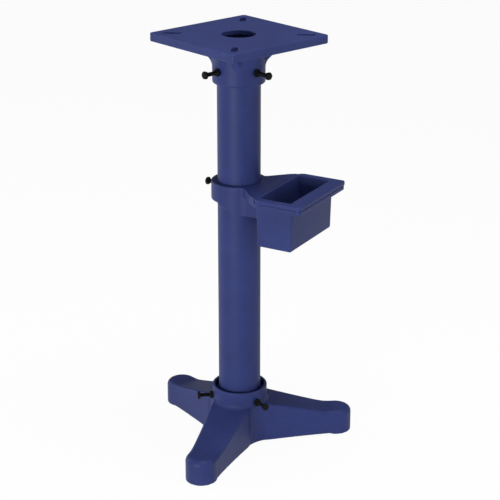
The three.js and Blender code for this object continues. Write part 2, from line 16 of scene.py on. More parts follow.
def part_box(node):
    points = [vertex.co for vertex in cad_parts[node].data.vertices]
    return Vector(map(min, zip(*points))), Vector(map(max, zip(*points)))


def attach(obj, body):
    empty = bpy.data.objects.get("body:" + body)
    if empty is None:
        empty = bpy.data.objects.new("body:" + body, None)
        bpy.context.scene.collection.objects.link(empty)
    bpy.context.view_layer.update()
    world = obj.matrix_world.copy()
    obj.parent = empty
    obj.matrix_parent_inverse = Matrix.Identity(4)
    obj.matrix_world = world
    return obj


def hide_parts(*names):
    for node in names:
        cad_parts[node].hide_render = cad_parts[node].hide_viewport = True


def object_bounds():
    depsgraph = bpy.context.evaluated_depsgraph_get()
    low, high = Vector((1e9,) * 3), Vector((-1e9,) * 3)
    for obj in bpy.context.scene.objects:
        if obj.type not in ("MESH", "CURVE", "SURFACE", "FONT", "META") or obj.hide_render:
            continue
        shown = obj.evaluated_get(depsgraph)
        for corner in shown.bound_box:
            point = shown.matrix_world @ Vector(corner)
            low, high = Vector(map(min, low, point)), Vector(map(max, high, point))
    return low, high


bl_info = {
    "name": "Grinder stand",
    "version": (1, 0, 0),
    "blender": (4, 5, 0),
    "location": "View3D > Sidebar > Stand",
    "description": "Builds the looks of a pedestal stand for a bench grinder",
    "category": "Object",
}

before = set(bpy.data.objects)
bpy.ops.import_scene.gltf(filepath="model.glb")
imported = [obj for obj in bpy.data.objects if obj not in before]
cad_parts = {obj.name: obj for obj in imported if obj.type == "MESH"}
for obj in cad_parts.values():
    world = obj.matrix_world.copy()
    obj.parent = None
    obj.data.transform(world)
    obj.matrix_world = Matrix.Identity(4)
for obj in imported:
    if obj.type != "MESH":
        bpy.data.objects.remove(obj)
CAD_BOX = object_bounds()

MM = 0.001

# Places read from the frame

COLUMN_LOW, COLUMN_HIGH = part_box("column_tube")
AXIS = Vector(((COLUMN_LOW.x + COLUMN_HIGH.x) / 2, (COLUMN_LOW.y + COLUMN_HIGH.y) / 2, 0.0))
COLUMN_RADIUS = (COLUMN_HIGH.x - COLUMN_LOW.x) / 2
STAND_TOP = CAD_BOX[1].z
HUB_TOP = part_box("base_casting")[1].z
SOCKET_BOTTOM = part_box("head_casting")[0].z
ARM_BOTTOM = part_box("tray_bracket")[0].z
POT_BOTTOM, TRAY_TOP = (corner.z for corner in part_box("water_pot"))

SCREWS = (
    "base_screw_front",
    "base_screw_right",
    "base_screw_left",
    "head_screw_left",
    "head_screw_front",
    "tray_screw",
)


def middle_of(node):
    """Middle of a node's box, from the column's axis."""
    low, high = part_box(node)
    return (low + high) / 2 - AXIS


def bearing_of(node):
    """Direction of a node from the column's axis, as an angle about +Z."""
    middle = middle_of(node)
    return math.atan2(middle.y, middle.x)


def reach_of(node):
    """Least and greatest distance of a node from the column's axis along its own direction."""
    bearing = bearing_of(node)
    outward = Vector((math.cos(bearing), math.sin(bearing), 0.0))
    reach = [(vertex.co - AXIS).dot(outward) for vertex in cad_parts[node].data.vertices]
    return min(reach), max(reach)


QUARTER = math.pi / 2
HEAD_TURN = bearing_of("head_screw_front") + QUARTER
TRAY_TURN = bearing_of("tray_screw") - math.pi

# Settings that a user would change


def length(label, about, millimetres):
    metres = millimetres * MM
    return FloatProperty(name=label, description=about, default=metres, unit="LENGTH", precision=5)


def number(label, about, value):
    return FloatProperty(name=label, description=about, default=value)


def angle(label, about, degrees):
    return FloatProperty(name=label, description=about, default=math.radians(degrees), subtype="ANGLE")


def colour(label, about, rgb):
    return FloatVectorProperty(name=label, description=about, default=rgb, subtype="COLOR", min=0, max=1)


class STAND_PG_fits(bpy.types.PropertyGroup):
    """Sizes that several castings share"""

    bore_gap: length("Bore gap", "Between the column and the bores round it", 0.3)
    edge: length("Cut edge", "Rounding where a bore or slot opens", 1.2)
    seat_radius: length("Spot face radius", "Flat round each set screw", 9.5)
    seat_depth: length("Spot face depth", "How deep that flat is cut into the round wall", 0.8)
    seat_bevel: length("Spot face bevel", "Width of the slope round that flat", 2.5)
    hole_radius: length("Screw hole radius", "Hole that a set screw passes through", 4.3)
    seat_edge: length("Spot face edge", "Rounding of the spot face's outline", 0.4)


class STAND_PG_base(bpy.types.PropertyGroup):
    """Sizes of the base casting"""

    hub_wall: length("Hub wall", "Column to the outside of the hub", 13.05)
    hub_edge: length("Hub edge", "Rounding of the hub's top edge", 2.5)
    recess_width: length("Recess width", "Open recess round the column", 7.25)
    recess_depth: length("Recess depth", "Depth of that recess", 14)
    column_seat: length("Column seat", "Height of the ledge under the column", 22)
    ledge_thickness: length("Ledge thickness", "Thickness of that ledge", 10)
    ledge_width: length("Ledge width", "How far the ledge reaches in under the column", 8.25)
    leg_reach: length("Leg reach", "Column axis to the middle of a foot", 197.5)
    leg_root: length("Leg root", "Half width of a leg at the hub", 40)
    leg_flare: number("Leg flare", "How late a leg widens towards the hub", 1.6)
    leg_level: length("Leg level", "Level stretch of a leg's back before the foot", 22.5)
    leg_slope: number("Leg slope", "Rise of a leg's back towards the hub", 0.275)
    leg_crown: length("Leg crown", "Rounding of a leg's upper edges at the hub", 5)
    leg_clearance: length("Leg clearance", "Legs off the floor between hub and feet", 3)
    leg_shell: length("Leg shell", "Thickness of the hollow legs", 10)
    knee: length("Knee", "Softness of the bend where the back levels out", 10)
    root_fillet: length("Root fillet", "Fillet between the legs and the hub", 6)
    foot_radius: length("Foot radius", "Radius of a round foot", 30.5)
    foot_height: length("Foot height", "Height of a foot", 50)
    foot_edge: length("Foot edge", "Rounding of a foot's top edge", 11)
    pad_edge: length("Pad edge", "Rounding at the floor", 1.5)
    hollow_round: length("Hollow rounding", "Rounding inside the hollow legs", 4)
    screw_height: length("Screw height", "Height of the set screws", middle_of("base_screw_front").z / MM)


class STAND_PG_head(bpy.types.PropertyGroup):
    """Sizes of the head casting"""

    plate_side: length("Plate side", "Side of the square plate", 236)
    plate_edge: length("Plate edge", "Depth of the plate's rim", 16)
    plate_web: length("Plate web", "Thickness of the plate inside the rim", 10)
    plate_rim: length("Plate rim", "Width of the rim under the plate", 11)
    plate_corner: length("Plate corner", "Corner radius of the plate", 6)
    plate_bevel: length("Plate bevel", "Rounding of the plate's edges", 1.8)
    plate_ledge: length("Plate ledge", "How far the plate reaches in over the column", 9.25)
    slot_width: length("Slot width", "Width of a bolt slot", 12)
    slot_length: length("Slot length", "Length of a bolt slot", 36)
    slot_distance: length("Slot distance", "Middle of the plate to the middle of a slot", 124)
    socket_wall: length("Socket wall", "Column to the outside of the socket", 8.55)
    socket_fillet: length("Socket fillet", "Fillet between socket and plate", 6)
    socket_edge: length("Socket edge", "Rounding of the socket's lower edge", 3.5)
    rib_thickness: length("Gusset thickness", "Thickness of a gusset", 10)
    rib_depth: length("Gusset depth", "Depth of a gusset below the rim", 36)
    rib_reach: length("Gusset reach", "How far a gusset reaches out from the socket", 36)
    rib_edge: length("Gusset edge", "Rounding of a gusset's edges", 4)
    rib_fillet: length("Gusset fillet", "Fillet at a gusset's root", 6.5)


class STAND_PG_tray(bpy.types.PropertyGroup):
    """Sizes of the tray bracket and the water pot"""

    ring_wall: length("Ring wall", "Column to the outside of the ring", 12.15)
    ring_height: length("Ring height", "Height of the ring on the side away from the pot", 36)
    arm_start: length("Arm start", "Where the lower edge starts to fall, from the column's axis", -20)
    arm_slope: number("Arm slope", "Fall of the lower edge towards the pot", 0.4)
    arm_wall: length("Arm wall", "Wall of the hollow arm under the deck", 8)
    edge: length("Casting edge", "Rounding of the bracket's edges", 1.8)
    deck_thickness: length("Deck thickness", "Thickness of deck and frame", 17)
    deck_root: angle("Deck root", "Where the deck's edges leave the ring", 52)
    deck_corner_back: length("Deck corner", "Wide corners back from the pot", 1.5)
    deck_corner_round: length("Deck corner rounding", "Softness of those corners", 17)
    deck_fillet: length("Deck fillet", "Fillet between ring and deck", 5)
    rim_inner: length("Rim beside the column", "Width of the pot's rim there", 3)
    rim_outer: length("Rim on the far side", "Width of the pot's rim there", 23)
    rim_end: length("Rim at the ends", "Width of the pot's rim there", 10.5)
    rim_thickness: length("Rim thickness", "Thickness of the pot's rim", 8)
    rim_corner: length("Rim corner", "Corner radius of the rim on the far side", 7)
    rim_inner_corner: length("Rim inner corner", "Corner radius of the rim beside the deck", 16)
    rim_overhang: length("Rim overhang", "Rim past the frame below it", 1)
    rim_edge: length("Rim edge", "Rounding of the rim's edges", 1.6)
    rim_gap: length("Rim gap", "Between the rim and its seat", 0.3)
    pot_standoff: length("Pot standoff", "Column to the near side of the pot", 41.75)
    pot_width: length("Pot width", "Pot's size away from the column", 75)
    pot_length: length("Pot length", "Pot's size along the tray", 165)
    pot_wall: length("Pot wall", "Wall of the pot", 5)
    pot_corner: length("Pot corner", "Upright corners of the pot", 4)
    pot_draft: length("Pot draft", "How much narrower the pot is at the bottom", 2)
    pot_foot: length("Pot foot", "Rounding of the pot's bottom edge", 5)
    pot_clearance: length("Pot clearance", "Between the pot and the frame's window", 1)
    lip_edge: length("Lip edge", "Rounding of the pot's inner lip", 2)
    inner_round: length("Inner rounding", "Rounding inside the pot", 3.5)


class STAND_PG_metal(bpy.types.PropertyGroup):
    """Sizes of the column tube, the screws and the nuts"""

    tube_wall: length("Tube wall", "Wall of the column tube", 6)
    tube_edge: length("Tube edge", "Chamfer at the tube's ends", 0.6)
    thread_radius: length("Thread radius", "Outside of the screw thread", 4)
    thread_depth: length("Thread depth", "Depth of the thread", 0.7)
    thread_pitch: length("Thread pitch", "Advance of the thread in one turn", 1.25)
    tip_chamfer: length("Tip chamfer", "Chamfer of a screw's tip", 1)
    head_thickness: length("Head thickness", "Thickness of a hexagon head", 5.5)
    hex_width: length("Width across flats", "Hexagon heads and nuts", 13)
    hex_chamfer: length("Hexagon chamfer", "Chamfer of the hexagon's corners", 0.5)


class STAND_PG_finish(bpy.types.PropertyGroup):
    """Colours of the stand and its stage"""

    enamel: colour("Enamel", "Blue paint of castings and column", (0.027, 0.039, 0.152))
    enamel_worn: colour("Worn enamel", "Paint where it is thin on an edge", (0.06, 0.08, 0.24))
    oxide: colour("Black oxide", "Blackened steel of screws and nuts", (0.006, 0.006, 0.007))
    floor: colour("Floor", "Pale floor", (0.9, 0.9, 0.9))


# Distance fields: negative inside a form, positive outside, in metres


def rounded_overlap(a, b, radius):
    """What two forms share, with the edge between them rounded."""
    beyond = np.hypot(np.maximum(radius + a, 0), np.maximum(radius + b, 0))
    return np.minimum(-radius, np.maximum(a, b)) + beyond


def fillet_join(a, b, radius):
    """Two forms as one, with a fillet in the corner between them."""
    return -rounded_overlap(-a, -b, radius)


def rounded_cut(a, b, radius):
    """One form without another, with the edge of the cut rounded."""
    return rounded_overlap(a, -b, radius)


def slab(value, low, high):
    """All that lies between two values."""
    return np.abs(value - (low + high) / 2) - (high - low) / 2


def rounded_rectangle(x, y, low, high, corner):
    """A rectangle between two corner points in plan, with round corners."""
    across = slab(x, low[0], high[0]) + corner
    along = slab(y, low[1], high[1]) + corner
    outside = np.hypot(np.maximum(across, 0), np.maximum(along, 0))
    return outside + np.minimum(np.maximum(across, along), 0) - corner


def turned_to(x, y, bearing):
    """Distance along a direction from the axis, and aside from it."""
    cosine, sine = math.cos(bearing), math.sin(bearing)
    return x * cosine + y * sine, y * cosine - x * sine


def nearest_spoke(x, y, first, count):
    """Distance along the nearest of several equal directions, and aside from it."""
    step = 2 * math.pi / count
    bearing = np.arctan2(y, x) - first
    bearing = bearing - step * np.round(bearing / step)
    radius = np.hypot(x, y)
    return radius * np.cos(bearing), radius * np.sin(bearing)


def soft_positive(value, softness):
    """The value where it is positive and nearly nothing elsewhere, with a soft bend between."""
    return (value + np.hypot(value, softness)) / 2


def screw_seat(fits, along, aside, rise, wall_radius):
    """Hole for a set screw and the dished flat for its nut, at a height above which rise is counted."""
    off = np.hypot(aside, rise)
    hole = np.maximum(off - fits.hole_radius, -along)
    beyond_flat = off - fits.seat_radius
    slope = np.maximum(beyond_flat, 0) * fits.seat_depth / fits.seat_bevel
    face = np.maximum(wall_radius - fits.seat_depth + slope - along, beyond_flat - fits.seat_bevel)
    return np.minimum(hole, face)


LEG_COUNT = 3
REAR_LEG = QUARTER
INNER_LEG_ROUND = 3 * MM


def base_field(s, fits):
    """The base: a hub with a recess and a ledge, and hollow legs that end in round feet."""
    hub_radius = COLUMN_RADIUS + s.hub_wall
    bore_radius = COLUMN_RADIUS + fits.bore_gap
    recess_radius = COLUMN_RADIUS + s.recess_width
    ledge_radius = COLUMN_RADIUS - s.ledge_width
    knee_reach = s.leg_reach - s.leg_level
    hollow_end = s.leg_reach - s.foot_radius

    def field(x, y, z):
        radius = np.hypot(x, y)
        reach, across = nearest_spoke(x, y, REAR_LEG, LEG_COUNT)
        share = np.clip((s.leg_reach - reach) / (s.leg_reach - hub_radius), 0, 1)
        half = s.foot_radius + (s.leg_root - s.foot_radius) * share**s.leg_flare
        top = s.foot_height + s.leg_slope * soft_positive(knee_reach - reach, s.knee)
        crown = s.foot_edge + (s.leg_crown - s.foot_edge) * share
        aside = np.abs(across)
        from_foot = np.hypot(reach - s.leg_reach, across) - s.foot_radius
        foot = rounded_overlap(from_foot, z - top, crown)
        leg = np.where(reach > s.leg_reach, foot, rounded_overlap(aside - half, z - top, crown))
        hub = rounded_overlap(radius - hub_radius, z - HUB_TOP, s.hub_edge)
        body = fillet_join(hub, leg, s.root_fillet)
        body = rounded_overlap(body, s.leg_clearance - z, s.pad_edge)
        pad = rounded_overlap(from_foot, slab(z, 0, s.foot_height / 2), s.pad_edge)
        body = np.minimum(body, pad)
        inner_crown = np.maximum(crown - s.leg_shell, INNER_LEG_ROUND)
        hollow = rounded_overlap(aside - half + s.leg_shell, z - top + s.leg_shell, inner_crown)
        hollow = rounded_overlap(hollow, slab(reach, hub_radius, hollow_end), s.hollow_round)
        body = rounded_cut(body, hollow, s.pad_edge)
        shaft = np.maximum(radius - bore_radius, -slab(z, s.column_seat - s.ledge_thickness, s.column_seat))
        recess = rounded_overlap(radius - recess_radius, HUB_TOP - s.recess_depth - z, fits.edge)
        bore = np.minimum(np.minimum(shaft, recess), radius - ledge_radius)
        body = rounded_cut(body, bore, fits.edge)
        along, beside = nearest_spoke(x, y, -REAR_LEG, LEG_COUNT)
        seat = screw_seat(fits, along, beside, z - s.screw_height, hub_radius)
        return rounded_cut(body, seat, fits.seat_edge)

    return field


CORNER_COUNT = 4
FIRST_CORNER = math.pi / 4
HEAD_SCREW_BEARINGS = (math.pi, -QUARTER)
INSIDE_PLATE = 3 * MM
HOLLOW_CORNER = 3 * MM


def head_field(s, fits):
    """The head: a slotted plate with a rim, and a socket with gussets below it."""
    socket_radius = COLUMN_RADIUS + s.socket_wall
    bore_radius = COLUMN_RADIUS + fits.bore_gap
    half = s.plate_side / 2
    inner = half - s.plate_rim
    seat_height = STAND_TOP - s.plate_web
    rim_bottom = STAND_TOP - s.plate_edge
    root_top = seat_height + INSIDE_PLATE
    screw_height = middle_of("head_screw_front").z
    straight = (s.slot_length - s.slot_width) / 2

    def field(x, y, z):
        radius = np.hypot(x, y)
        outline = rounded_rectangle(x, y, (-half, -half), (half, half), s.plate_corner)
        plate = rounded_overlap(outline, slab(z, rim_bottom, STAND_TOP), s.plate_bevel)
        hollow = rounded_rectangle(x, y, (-inner, -inner), (inner, inner), s.plate_corner)
        plate = rounded_cut(plate, rounded_overlap(hollow, z - seat_height, HOLLOW_CORNER), s.plate_bevel)
        socket = rounded_overlap(radius - socket_radius, slab(z, SOCKET_BOTTOM, root_top), s.socket_edge)
        head = fillet_join(plate, socket, s.socket_fillet)
        reach, across = nearest_spoke(x, y, FIRST_CORNER, CORNER_COUNT)
        outward = (reach - socket_radius) * s.rib_depth - (z - rim_bottom + s.rib_depth) * s.rib_reach
        slope = outward / math.hypot(s.rib_depth, s.rib_reach)
        rib = np.maximum(np.maximum(slope, reach - socket_radius - s.rib_reach), z - root_top)
        rib = rounded_overlap(rib, np.abs(across) - s.rib_thickness / 2, s.rib_edge)
        head = fillet_join(head, rib, s.rib_fillet)
        shaft = np.maximum(radius - bore_radius, z - seat_height)
        bore = np.minimum(shaft, radius - COLUMN_RADIUS + s.plate_ledge)
        along = np.maximum(np.abs(reach - s.slot_distance) - straight, 0)
        slot = np.hypot(along, across) - s.slot_width / 2
        head = rounded_cut(head, np.minimum(bore, slot), fits.edge)
        for bearing in HEAD_SCREW_BEARINGS:
            along, beside = turned_to(x, y, bearing)
            seat = screw_seat(fits, along, beside, z - screw_height, socket_radius)
            head = rounded_cut(head, seat, fits.seat_edge)
        return head

    return field


ARM_CORNER = 3 * MM
SEAT_EDGE = 0.5 * MM


def tray_field(s, fits):
    """The tray bracket: a ring, a hollow arm, a flared deck and the frame round the pot."""
    ring_radius = COLUMN_RADIUS + s.ring_wall
    ring_bottom = TRAY_TOP - s.ring_height
    bore_radius = COLUMN_RADIUS + fits.bore_gap
    pot_near = COLUMN_RADIUS + s.pot_standoff
    pot_far = pot_near + s.pot_width
    half = s.pot_length / 2 + s.rim_end - s.rim_overhang
    outer = pot_far + s.rim_outer - s.rim_overhang
    deck_bottom = TRAY_TOP - s.deck_thickness
    frame_top = TRAY_TOP - s.rim_thickness - s.rim_gap
    root = Vector((math.cos(s.deck_root), math.sin(s.deck_root))) * ring_radius
    flank = (Vector((pot_near - s.deck_corner_back, half)) - root).normalized()
    arm_reach = pot_near - s.pot_clearance
    arm_low, arm_high = (0, -root.y), (arm_reach, root.y)
    hollow_half = root.y - s.arm_wall
    hollow_low, hollow_high = (0, -hollow_half), (arm_reach - s.arm_wall, hollow_half)
    seat_half = s.pot_length / 2 + s.rim_end + s.rim_gap
    seat_low = (pot_near - s.rim_inner - s.rim_gap, -seat_half)
    seat_high = (outer + 2 * s.rim_inner_corner, seat_half)
    window_half = s.pot_length / 2 + s.pot_clearance
    window_low, window_high = (arm_reach, -window_half), (pot_far + s.pot_clearance, window_half)
    corner_bottom = deck_bottom - 2 * s.deck_fillet
    fall = math.hypot(1, s.arm_slope)
    screw_height = middle_of("tray_screw").z

    def field(x, y, z):
        radius = np.hypot(x, y)
        aside = np.abs(y)
        from_ring = radius - ring_radius
        arm = rounded_rectangle(x, y, arm_low, arm_high, s.edge)
        stem = fillet_join(from_ring, arm, s.deck_fillet)
        below = (ring_bottom - s.arm_slope * (x - s.arm_start) - z) / fall
        below = np.maximum(np.minimum(ring_bottom - z, below), ARM_BOTTOM - z)
        beyond_flank = (aside - root.y) * flank.x - (x - root.x) * flank.y
        plan = rounded_overlap(beyond_flank, aside - half, s.deck_corner_round)
        plan = rounded_overlap(plan, x - outer, s.rim_corner)
        plan = fillet_join(plan, from_ring, s.deck_fillet)
        deck = rounded_overlap(plan, slab(z, deck_bottom, TRAY_TOP), s.edge)
        ring = rounded_overlap(from_ring, np.maximum(below, z - TRAY_TOP), s.edge)
        corner = fillet_join(arm, deck_bottom - z, s.deck_fillet)
        corner = np.maximum(np.maximum(corner, plan + s.edge), slab(z, corner_bottom, TRAY_TOP - s.edge))
        stem = rounded_overlap(stem, np.maximum(below, z - deck_bottom - s.edge), s.edge)
        bracket = np.minimum(np.minimum(deck, ring), np.minimum(stem, corner))
        hollow = rounded_rectangle(x, y, hollow_low, hollow_high, ARM_CORNER)
        hollow = rounded_overlap(hollow, -from_ring, ARM_CORNER)
        bracket = rounded_cut(bracket, rounded_overlap(hollow, z - deck_bottom, ARM_CORNER), s.edge)
        rim_seat = rounded_rectangle(x, y, seat_low, seat_high, s.rim_inner_corner + s.rim_gap)
        bracket = rounded_cut(bracket, np.maximum(rim_seat, frame_top - z), SEAT_EDGE)
        window = rounded_rectangle(x, y, window_low, window_high, s.pot_corner + s.pot_clearance)
        bracket = rounded_cut(bracket, np.minimum(window, radius - bore_radius), fits.edge)
        seat = screw_seat(fits, -x, y, z - screw_height, ring_radius)
        return rounded_cut(bracket, seat, fits.seat_edge)

    return field


# Meshes from distance fields

GRID_MARGIN = 2
PROBE = 0.02 * MM
LEAST_SLOPE = 0.1
CELL_CORNERS = 8
SETTLING_ROUNDS = 4
EASING_ROUNDS = 3
EASING = 0.5


def gradient(field, points):
    """Direction in which a field grows, at each point."""
    steps = np.eye(3) * PROBE
    sides = [field(*(points + step).T) - field(*(points - step).T) for step in steps]
    return np.stack(sides, axis=1) / (2 * PROBE)


def settle(field, points, reach):
    """Moves points onto the surface of a form, each by no more than reach at a time."""
    for _ in range(SETTLING_ROUNDS):
        slope = gradient(field, points)
        move = (field(*points.T) / np.maximum((slope**2).sum(1), LEAST_SLOPE))[:, None] * slope
        far = np.maximum(np.linalg.norm(move, axis=1, keepdims=True) / reach, 1)
        points = points - move / far
    return points


def cell_quads(inside, numbers):
    """Quads between the cells round each grid edge that passes through the surface."""
    quads = []
    for axis in range(3):
        starts = np.take(inside, range(inside.shape[axis] - 1), axis)
        ends = np.take(inside, range(1, inside.shape[axis]), axis)
        edges = np.argwhere(starts != ends)
        one, two = np.eye(3, dtype=int)[[(axis + 1) % 3, (axis + 2) % 3]]
        corners = [edges, edges - one, edges - one - two, edges - two]
        quad = np.stack([numbers[tuple(corner.T)] for corner in corners], axis=1)
        leaving = starts[tuple(edges.T)]
        quads.append(np.where(leaving[:, None], quad, quad[:, ::-1]))
    return np.concatenate(quads)


def ease(points, quads):
    """Moves each point part of the way to the middle of its neighbours."""
    starts = quads.ravel()
    ends = np.roll(quads, -1, axis=1).ravel()
    count = np.bincount(starts, minlength=len(points))[:, None]
    total = np.stack([np.bincount(starts, points[ends, i], len(points)) for i in range(3)], axis=1)
    return points + EASING * (total / np.maximum(count, 1) - points)


def grid_lines(low, high, step, fine_step=None, fine_reach=0):
    """Places of grid planes along one axis, closer together near the column's axis if asked."""
    past = (GRID_MARGIN + 1) * step
    if fine_step is None:
        return np.arange(low - GRID_MARGIN * step, high + past, step)
    middle = np.arange(-fine_reach, fine_reach, fine_step)
    before = np.arange(-fine_reach, low - past, -step)[:0:-1]
    after = np.arange(fine_reach, high + past, step)
    return np.concatenate([before, middle, after])


def mesh_from_field(name, field, lines):
    """A closed mesh of quads over the surface of a form, with the form's own normals."""
    inside = field(*np.meshgrid(*lines, indexing="ij", sparse=True)) < 0
    cells = tuple(n - 1 for n in inside.shape)
    corners = sum(
        inside[i:i + cells[0], j:j + cells[1], k:k + cells[2]].astype(np.int8)
        for i, j, k in product((0, 1), repeat=3)
    )
    crossed = (corners > 0) & (corners < CELL_CORNERS)
    places = np.argwhere(crossed)
    numbers = np.full(cells, -1)
    numbers[crossed] = np.arange(len(places))
    middles = [(line[1:] + line[:-1]) / 2 for line in lines]
    points = np.stack([middles[i][places[:, i]] for i in range(3)], axis=1)
    quads = cell_quads(inside, numbers)
    step = min(np.diff(line).min() for line in lines)
    points = settle(field, points, step)
    for _ in range(EASING_ROUNDS):
        points = settle(field, ease(points, quads), step)
    normals = gradient(field, points)
    normals /= np.linalg.norm(normals, axis=1, keepdims=True)
    mesh = bpy.data.meshes.new(name)
    mesh.from_pydata(points.tolist(), [], quads.tolist())
    mesh.shade_smooth()
    mesh.normals_split_custom_set_from_vertices(normals.tolist())
    return mesh


# Meshes from rings


def ring_mesh(name, rings, joined=False):
    """A skin over rings of equally many points; the last ring meets the first, or both are capped."""
    count = len(rings[0])
    points = [tuple(point) for ring in rings for point in ring]
    faces = []
    spans = len(rings) if joined else len(rings) - 1
    for k in range(spans):
        here, there = k * count, (k + 1) % len(rings) * count
        for i in range(count):
            j = (i + 1) % count
            faces.append((here + i, here + j, there + j, there + i))
    if not joined:
        faces.append(tuple(reversed(range(count))))
        faces.append(tuple(range(len(points) - count, len(points))))
    mesh = bpy.data.meshes.new(name)
    mesh.from_pydata(points, [], faces)
    mesh.validate()
    return mesh


def circle(radii, heights, steps):
    """One ring round +Z; radii and heights may change with the angle."""
    turn = np.linspace(0, 2 * math.pi, steps, endpoint=False)
    radii, heights = np.broadcast_to(radii, steps), np.broadcast_to(heights, steps)
    return np.stack([radii * np.cos(turn), radii * np.sin(turn), heights], axis=1)


EDGE_STEPS = 6


def quarter(centre, radius, start, end, steps=EDGE_STEPS):
    """Points of a rounded edge in the plane of a profile, with its angles in degrees."""
    turn = np.radians(np.linspace(start, end, steps + 1))
    return [(centre[0] + radius * math.cos(t), centre[1] + radius * math.sin(t)) for t in turn]


ROUND_STEPS = 128
COLUMN_BELTS = 24


def column_mesh(s):
    """The column, a tube with chamfered ends."""
    outer, inner, edge = COLUMN_RADIUS, COLUMN_RADIUS - s.tube_wall, s.tube_edge
    low, high = COLUMN_LOW.z, COLUMN_HIGH.z
    belts = [(outer, height) for height in np.linspace(low + edge, high - edge, COLUMN_BELTS + 1)]
    profile = [
        (inner + edge, low),
        (outer - edge, low),
        *belts,
        (outer - edge, high),
        (inner + edge, high),
        (inner, high - edge),
        (inner, low + edge),
    ]
    rings = [circle(radius, height, ROUND_STEPS) for radius, height in profile]
    return ring_mesh("column_tube_skin", rings, joined=True)


OUTLINE_STEPS = 10


def rectangle_ring(low, high, corner, low_corner, height):
    """A rectangle with round corners in plan, those on the low-x side with a radius of their own."""
    arcs = (
        (high[0] - corner, low[1] + corner, corner, -90),
        (high[0] - corner, high[1] - corner, corner, 0),
        (low[0] + low_corner, high[1] - low_corner, low_corner, 90),
        (low[0] + low_corner, low[1] + low_corner, low_corner, 180),
    )
    points = []
    for x, y, radius, start in arcs:
        points += quarter((x, y), radius, start, start + 90, OUTLINE_STEPS)
    return [(x, y, height) for x, y in points]


# Where the flat of the pot's bottom starts, outside and inside, counted in radii of the edge round it

OUTER_FLAT, INNER_FLAT = 2, 3
LEAST_CORNER = 1 * MM


def pot_mesh(s):
    """The water pot, from its underside up over the rim and down to its inner floor."""
    near = COLUMN_RADIUS + s.pot_standoff
    far = near + s.pot_width
    half = s.pot_length / 2
    rim_bottom = TRAY_TOP - s.rim_thickness
    depth = rim_bottom - POT_BOTTOM

    def wall_ring(inset, height):
        corner = max(s.pot_corner - inset, LEAST_CORNER)
        low, high = (near + inset, inset - half), (far - inset, half - inset)
        return rectangle_ring(low, high, corner, corner, height)

    def rim_ring(inset, height):
        low = (near - s.rim_inner + inset, -half - s.rim_end + inset)
        high = (far + s.rim_outer - inset, half + s.rim_end - inset)
        return rectangle_ring(low, high, s.rim_corner - inset, s.rim_inner_corner - inset, height)

    def draft(height):
        return s.pot_draft * (rim_bottom - height) / depth

    foot, edge, lip, inner = s.pot_foot, s.rim_edge, s.lip_edge, s.inner_round
    inner_floor = POT_BOTTOM + s.pot_wall
    rings = [wall_ring(s.pot_draft + foot * OUTER_FLAT, POT_BOTTOM)]
    outside = quarter((s.pot_draft + foot, POT_BOTTOM + foot), foot, 270, 180)
    rings += [wall_ring(inset, height) for inset, height in outside]
    rings.append(wall_ring(0, rim_bottom))
    rim_points = quarter((edge, rim_bottom + edge), edge, 270, 180)
    rim_points += quarter((edge, TRAY_TOP - edge), edge, 180, 90)
    rings += [rim_ring(inset, height) for inset, height in rim_points]
    lip_points = quarter((s.pot_wall - lip, TRAY_TOP - lip), lip, 90, 0)
    rings += [wall_ring(inset, height) for inset, height in lip_points]
    base_inset = s.pot_wall + draft(inner_floor)
    inside = quarter((base_inset + inner, inner_floor + inner), inner, 180, 270)
    rings += [wall_ring(inset, height) for inset, height in inside]
    rings.append(wall_ring(base_inset + inner * INNER_FLAT, inner_floor))
    return ring_mesh("water_pot_skin", rings)


HEX_STEPS = 72
HEX_SIDE = math.pi / 3
THREAD_ROWS = 8
CHAMFER_RISE = math.tan(math.radians(30))


def hex_radius(width):
    """Distance from the middle of a hexagon to its outline, all the way round."""
    turn = np.linspace(0, 2 * math.pi, HEX_STEPS, endpoint=False)
    return width / 2 / np.cos((turn + HEX_SIDE / 2) % HEX_SIDE - HEX_SIDE / 2)


def hex_end(s, end, direction):
    """The chamfered end of a hexagon: the ring on its sides and the flat circle."""
    outline = hex_radius(s.hex_width)
    flat = s.hex_width / 2 - s.hex_chamfer
    drop = (outline - flat) * CHAMFER_RISE
    return circle(outline, end - direction * drop, HEX_STEPS), circle(flat, end, HEX_STEPS)


def thread_radius(s, heights):
    """Radius of a screw thread at each angle and height."""
    turn = np.linspace(0, 1, HEX_STEPS, endpoint=False)
    phase = (heights / s.thread_pitch - turn) % 1
    return s.thread_radius - s.thread_depth * np.abs(2 * phase - 1)


def screw_mesh(s, name, tip, end):
    """A set screw along +Z, from its tip to the top of its hexagon head."""
    shoulder = end - s.head_thickness
    core = s.thread_radius - s.thread_depth
    rows = int((shoulder - tip - s.tip_chamfer) / s.thread_pitch * THREAD_ROWS)
    rings = [circle(core / 2, tip, HEX_STEPS), circle(core, tip, HEX_STEPS)]
    for height in np.linspace(tip + s.tip_chamfer, shoulder, rows):
        rings.append(circle(thread_radius(s, height), height, HEX_STEPS))
    rings.append(circle(s.thread_radius, shoulder, HEX_STEPS))
    rings.append(circle(hex_radius(s.hex_width), shoulder, HEX_STEPS))
    side, flat = hex_end(s, end, 1)
    rings += [side, flat, circle(s.thread_radius, end, HEX_STEPS)]
    return ring_mesh(name, rings)


def nut_mesh(s, fits, name, seat, end):
    """A jam nut along +Z, chamfered at both ends, with a hole for the screw."""
    lower_side, lower_flat = hex_end(s, seat, -1)
    upper_side, upper_flat = hex_end(s, end, 1)
    hole = fits.hole_radius
    mouth = hole + s.hex_chamfer
    rings = [
        circle(mouth, seat, HEX_STEPS),
        lower_flat,
        lower_side,
        upper_side,
        upper_flat,
        circle(mouth, end, HEX_STEPS),
        circle(hole, end - s.hex_chamfer, HEX_STEPS),
        circle(hole, seat + s.hex_chamfer, HEX_STEPS),
    ]
    return ring_mesh(name, rings, joined=True)


# Materials


# Sockets of a Mix node that hold its two colours, and the one that gives their mixture

